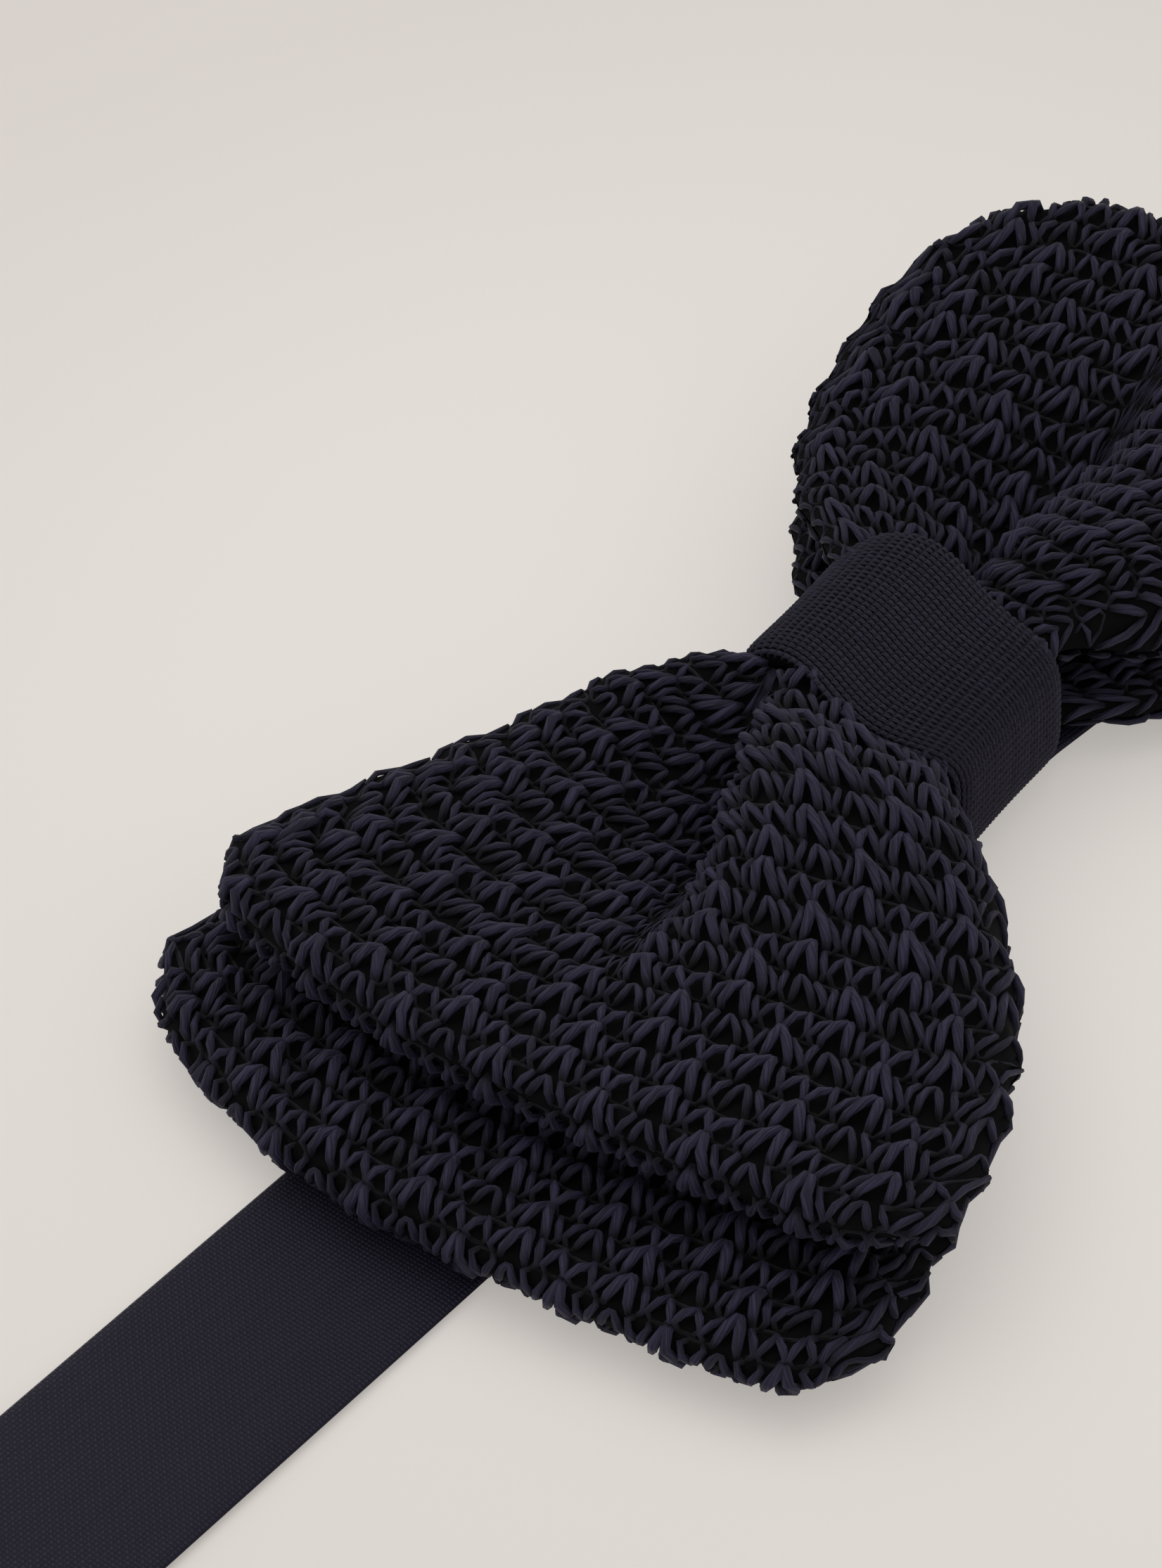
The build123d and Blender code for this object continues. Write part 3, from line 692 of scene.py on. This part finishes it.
def make_fibre():
    """Fine filaments along a yarn: noise on a circle round it, drawn out along its length."""
    n, given, out = group("yarn_fibres",
                          [("Along", FLOAT, None), ("Round", FLOAT, None),
                           ("Filaments", FLOAT, 3.0), ("Twist", FLOAT, 0.1)],
                          [("Strand", FLOAT), ("Fuzz", FLOAT)])
    turn = n.math("MULTIPLY_ADD", given.outputs["Along"], given.outputs["Twist"])
    n.link(given.outputs["Round"], turn.node.inputs[2])
    angle = n.math("MULTIPLY", turn, 2 * math.pi)
    ring = n.add("ShaderNodeCombineXYZ")
    for number, operation in enumerate(("COSINE", "SINE")):
        n.link(n.math("MULTIPLY", n.math(operation, angle), given.outputs["Filaments"]),
               ring.inputs[number])
    n.link(n.math("MULTIPLY", given.outputs["Along"], 0.35), ring.inputs[2])
    strand = n.add("ShaderNodeTexNoise")
    strand.inputs["Scale"].default_value = 1.0
    strand.inputs["Detail"].default_value = 3.0
    n.link(ring.outputs[0], strand.inputs["Vector"])
    fuzz = n.add("ShaderNodeTexNoise")
    fuzz.inputs["Scale"].default_value = 4.0
    fuzz.inputs["Detail"].default_value = 2.0
    n.link(ring.outputs[0], fuzz.inputs["Vector"])
    n.link(n.ramp(strand.outputs["Fac"], 0.35, 0.65), out.inputs["Strand"])
    n.link(fuzz.outputs["Fac"], out.inputs["Fuzz"])
    return n.tree


def make_weave():
    """Plain weave: warp and weft threads rise in turn, as cosines of both directions."""
    n, given, out = group("plain_weave",
                          [("Along", FLOAT, None), ("Across", FLOAT, None),
                           ("Pitch", FLOAT, THREAD_PITCH)],
                          [("Height", FLOAT), ("Warp", FLOAT), ("Thread", FLOAT)])
    along = n.math("DIVIDE", given.outputs["Along"], given.outputs["Pitch"])
    across = n.math("DIVIDE", given.outputs["Across"], given.outputs["Pitch"])
    cos_a = n.math("COSINE", n.math("MULTIPLY", along, math.pi))
    cos_b = n.math("COSINE", n.math("MULTIPLY", across, math.pi))
    over = n.math("MULTIPLY", cos_a, cos_b)
    warp = n.ramp(over, -0.25, 0.25)
    n.link(n.math("ABSOLUTE", over), out.inputs["Height"])
    n.link(warp, out.inputs["Warp"])
    place = n.add("ShaderNodeCombineXYZ")
    n.link(n.math("MULTIPLY", along, 0.06), place.inputs[0])
    n.link(across, place.inputs[1])
    slub = n.add("ShaderNodeTexNoise")
    slub.inputs["Scale"].default_value = 0.9
    slub.inputs["Detail"].default_value = 2.0
    n.link(place.outputs[0], slub.inputs["Vector"])
    n.link(slub.outputs["Fac"], out.inputs["Thread"])
    return n.tree


fibres, weave_group = make_fibre(), make_weave()


def material(name, roughness, sheen=0.0, sheen_tint=(1, 1, 1), specular=0.5):
    """A material with one shader, whose constants are on the shader's own sockets."""
    made = bpy.data.materials.new(name)
    made.use_nodes = True
    n = Nodes(made.node_tree)
    n.tree.nodes.clear()
    shader = n.add("ShaderNodeBsdfPrincipled")
    shader.inputs["Roughness"].default_value = roughness
    shader.inputs["Sheen Weight"].default_value = sheen
    shader.inputs["Sheen Roughness"].default_value = 0.4
    shader.inputs["Sheen Tint"].default_value = (*sheen_tint, 1)
    shader.inputs["Specular IOR Level"].default_value = specular
    output = n.add("ShaderNodeOutputMaterial")
    n.link(shader.outputs[0], output.inputs[0])
    return made, n, shader


def bump(n, shader, height, strength, distance):
    """Relief on a shader, its distance in millimetres."""
    node = n.add("ShaderNodeBump")
    node.inputs["Strength"].default_value = strength
    node.inputs["Distance"].default_value = distance * MM
    n.link(height, node.inputs["Height"])
    n.link(node.outputs[0], shader.inputs["Normal"])


def uv_split(n):
    """The two outputs of the piece's own UV map."""
    place = n.add("ShaderNodeUVMap", uv_map="UVMap")
    split = n.add("ShaderNodeSeparateXYZ")
    n.link(place.outputs[0], split.inputs[0])
    return split.outputs[0], split.outputs[1]


def yarn_material(name, dark, light, filaments, twist, depth, sheen):
    """Spun yarn: dark between its filaments, with painted shade where it sinks behind the cloth.
    """
    made, n, shader = material(name, 0.62, sheen=sheen, sheen_tint=(0.75, 0.72, 1.0),
                               specular=0.16)
    along, turn = uv_split(n)
    effect = n.add("ShaderNodeGroup")
    effect.node_tree = fibres
    effect.inputs["Filaments"].default_value = filaments
    effect.inputs["Twist"].default_value = twist
    n.link(along, effect.inputs["Along"])
    n.link(turn, effect.inputs["Round"])
    # Painted shade: the colour runs to the dark one where the yarn sinks behind its cloth.
    front = n.add("ShaderNodeAttribute", attribute_name="painted_shade_depth")
    shade = n.math("MULTIPLY", n.ramp(effect.outputs["Strand"], 0.0, 1.0, 0.35, 1.0),
                   n.ramp(front.outputs["Fac"], -0.50, 0.42, 0.0, 1.0))
    n.link(n.mix(shade, dark, light), shader.inputs["Base Color"])
    n.link(n.ramp(effect.outputs["Fuzz"], 0.3, 0.7, 0.5, 0.78), shader.inputs["Roughness"])
    bump(n, shader, effect.outputs["Strand"], 0.6, depth)
    return made


def dark_material(name, colour):
    """The inside of knitting, painted dark as its shade, mottled between 0.4 of a colour and
    the colour.
    """
    made, n, shader = material(name, 0.9, specular=0.1)
    place = n.add("ShaderNodeTexCoord")
    noise = n.add("ShaderNodeTexNoise")
    noise.inputs["Scale"].default_value = 900.0
    n.link(place.outputs["Object"], noise.inputs["Vector"])
    darker = tuple(c * 0.4 for c in colour)
    n.link(n.mix(noise.outputs["Fac"], darker, colour), shader.inputs["Base Color"])
    bump(n, shader, noise.outputs["Fac"], 0.5, 0.3)
    return made


def satin_material(name):
    """Fine woven ribbon: a plain weave, with painted shade between its threads."""
    made, n, shader = material(name, 0.55, sheen=0.02, sheen_tint=(0.8, 0.8, 1.0),
                               specular=0.12)
    along, across = uv_split(n)
    effect = n.add("ShaderNodeGroup")
    effect.node_tree = weave_group
    effect.inputs["Pitch"].default_value = THREAD_PITCH
    n.link(along, effect.inputs["Along"])
    n.link(across, effect.inputs["Across"])
    # Painted shade where the weave sinks between its threads, times the threads' own slubs.
    painted_shade_and_slub = n.math("MULTIPLY", n.ramp(effect.outputs["Height"], 0.0, 0.7, 0.35, 1.0),
                  n.ramp(effect.outputs["Thread"], 0.3, 0.7, 0.8, 1.0))
    n.link(n.mix(painted_shade_and_slub, SATIN_DARK, SATIN_LIGHT), shader.inputs["Base Color"])
    n.link(n.ramp(effect.outputs["Warp"], 0.0, 1.0, 0.42, 0.62), shader.inputs["Roughness"])
    bump(n, shader, effect.outputs["Height"], 0.7, 0.12)
    return made


def enamel_material(name):
    """Black enamel on metal, worn through in patches."""
    made, n, shader = material(name, 0.3)
    place = n.add("ShaderNodeTexCoord")
    broad = n.add("ShaderNodeTexNoise")
    broad.inputs["Scale"].default_value = 260.0
    broad.inputs["Detail"].default_value = 4.0
    fine = n.add("ShaderNodeTexNoise")
    fine.inputs["Scale"].default_value = 2600.0
    n.link(place.outputs["Object"], broad.inputs["Vector"])
    n.link(place.outputs["Object"], fine.inputs["Vector"])
    worn = n.ramp(broad.outputs["Fac"], 0.60, 0.72)
    n.link(n.mix(worn, ENAMEL_BLACK, BARE_METAL), shader.inputs["Base Color"])
    n.link(n.ramp(broad.outputs["Fac"], 0.3, 0.7, 0.22, 0.42), shader.inputs["Roughness"])
    n.link(n.ramp(worn, 0.0, 1.0, 0.0, 0.8), shader.inputs["Metallic"])
    bump(n, shader, fine.outputs["Fac"], 0.12, 0.05)
    return made


def thread_material(name):
    """Sewing thread: diagonal plies across its length."""
    made, n, shader = material(name, 0.6, sheen=0.2)
    place = n.add("ShaderNodeTexCoord")
    ply = n.add("ShaderNodeTexWave", bands_direction="DIAGONAL")
    ply.inputs["Scale"].default_value = 700.0
    ply.inputs["Distortion"].default_value = 1.5
    n.link(place.outputs["Object"], ply.inputs["Vector"])
    n.link(n.mix(ply.outputs["Fac"], THREAD_DARK, THREAD_LIGHT), shader.inputs["Base Color"])
    bump(n, shader, ply.outputs["Fac"], 0.5, 0.1)
    return made


wing_yarn = yarn_material("wing_yarn", WING_DARK, WING_LIGHT, filaments=2.6, twist=0.10,
                          depth=0.10, sheen=0.05)
knot_yarn = yarn_material("knot_yarn", KNOT_DARK, KNOT_LIGHT, filaments=1.6, twist=0.3,
                          depth=0.04, sheen=0.04)
inside = dark_material("knit_inside_painted_shade", INSIDE_PAINTED_SHADE)
satin = satin_material("woven_satin")
enamel = enamel_material("black_enamel")
thread = thread_material("sewing_thread")


def paint(piece, made):
    """Gives a piece one material."""
    piece.data.materials.clear()
    piece.data.materials.append(made)


for piece in (front_left_knit, front_right_knit, back_left_knit, back_right_knit):
    paint(piece, wing_yarn)
for piece in (front_cloth, back_cloth):
    paint(piece, inside)
for piece, made in ((knot_stitches, knot_yarn), (knot_cloth, inside)):
    paint(piece, made)
strips = (left_strip, right_near, right_run, adjuster_loop, hook_loop)
for piece in strips:
    paint(piece, satin)
for name in ("adjuster", "hook", "eye"):
    paint(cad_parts[name], enamel)
for name in ("knot_seam_stitches", "left_band_tack"):
    paint(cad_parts[name], thread)
paint(gather, thread)

# ------------------------------------------------------------------ what rides on what
for piece in (front_left_knit, front_right_knit, back_left_knit, back_right_knit,
              front_cloth, back_cloth, knot_stitches, knot_cloth, gather):
    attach(piece, "bow")
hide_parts("gather_thread")
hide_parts("front_bow")
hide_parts("back_bow")
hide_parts("centre_knot")
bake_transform(left_strip)
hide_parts("left_band", "band_centre")
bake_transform(right_near)
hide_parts("right_band", "band_centre")
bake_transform(right_run)
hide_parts("right_band_run", "adjuster_weave")
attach(adjuster_loop, "adjuster")
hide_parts("adjuster_fold")
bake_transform(hook_loop)
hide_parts("right_band_upper", "right_band_lower", "hook_fold")

# ------------------------------------------------------------------ stage and light
FLOOR_SIDE, FLOOR_HEIGHT = 6, -0.0002     # half the side and the top, in metres
floor_mesh = bpy.data.meshes.new("floor")
corners = [(FLOOR_SIDE * x, FLOOR_SIDE * y, FLOOR_HEIGHT)
           for x, y in ((-1, -1), (1, -1), (1, 1), (-1, 1))]
floor_mesh.from_pydata(corners, [], [(0, 1, 2, 3)])
floor = bpy.data.objects.new("floor", floor_mesh)
bpy.context.scene.collection.objects.link(floor)
pale, n, shader = material("pale_floor", 0.8, specular=0.2)
place = n.add("ShaderNodeTexCoord")
mottle = n.add("ShaderNodeTexNoise")
mottle.inputs["Scale"].default_value = 12.0
n.link(place.outputs["Object"], mottle.inputs["Vector"])
n.link(n.mix(mottle.outputs["Fac"], FLOOR_LOW, FLOOR_HIGH), shader.inputs["Base Color"])
# Half of the floor's brightness is painted light: a glow, brightest under the bow, which
# keeps the shadows on it faint.
away = n.add("ShaderNodeVectorMath", operation="LENGTH")
n.link(place.outputs["Object"], away.inputs[0])
n.link(n.mix(n.ramp(away.outputs["Value"], 0.03, 0.15), PAINTED_GLOW_NEAR, PAINTED_GLOW_FAR),
       shader.inputs["Emission Color"])
shader.inputs["Emission Strength"].default_value = 1.0
paint(floor, pale)


def soft_light(name, place, size, power, colour):
    """A round area light that faces the origin."""
    data = bpy.data.lights.new(name, "AREA")
    data.shape, data.size, data.energy, data.color = "DISK", size, power, colour
    light = bpy.data.objects.new(name, data)
    light.location = Vector(place)
    light.rotation_euler = Vector(place).to_track_quat("Z", "Y").to_euler()
    bpy.context.scene.collection.objects.link(light)


soft_light("key", (0.05, 0.40, 1.30), size=1.6, power=3.6, colour=WARMER_WHITE)
soft_light("fill", (-1.0, -0.2, 1.1), size=1.6, power=1.2, colour=WARM_WHITE)
world = bpy.data.worlds.new("studio")
world.use_nodes = True
world.node_tree.nodes["Background"].inputs[0].default_value = (*ROOM_WHITE, 1)
world.node_tree.nodes["Background"].inputs[1].default_value = 0.80
bpy.context.scene.world = world
bpy.context.scene.view_settings.view_transform = "Standard"
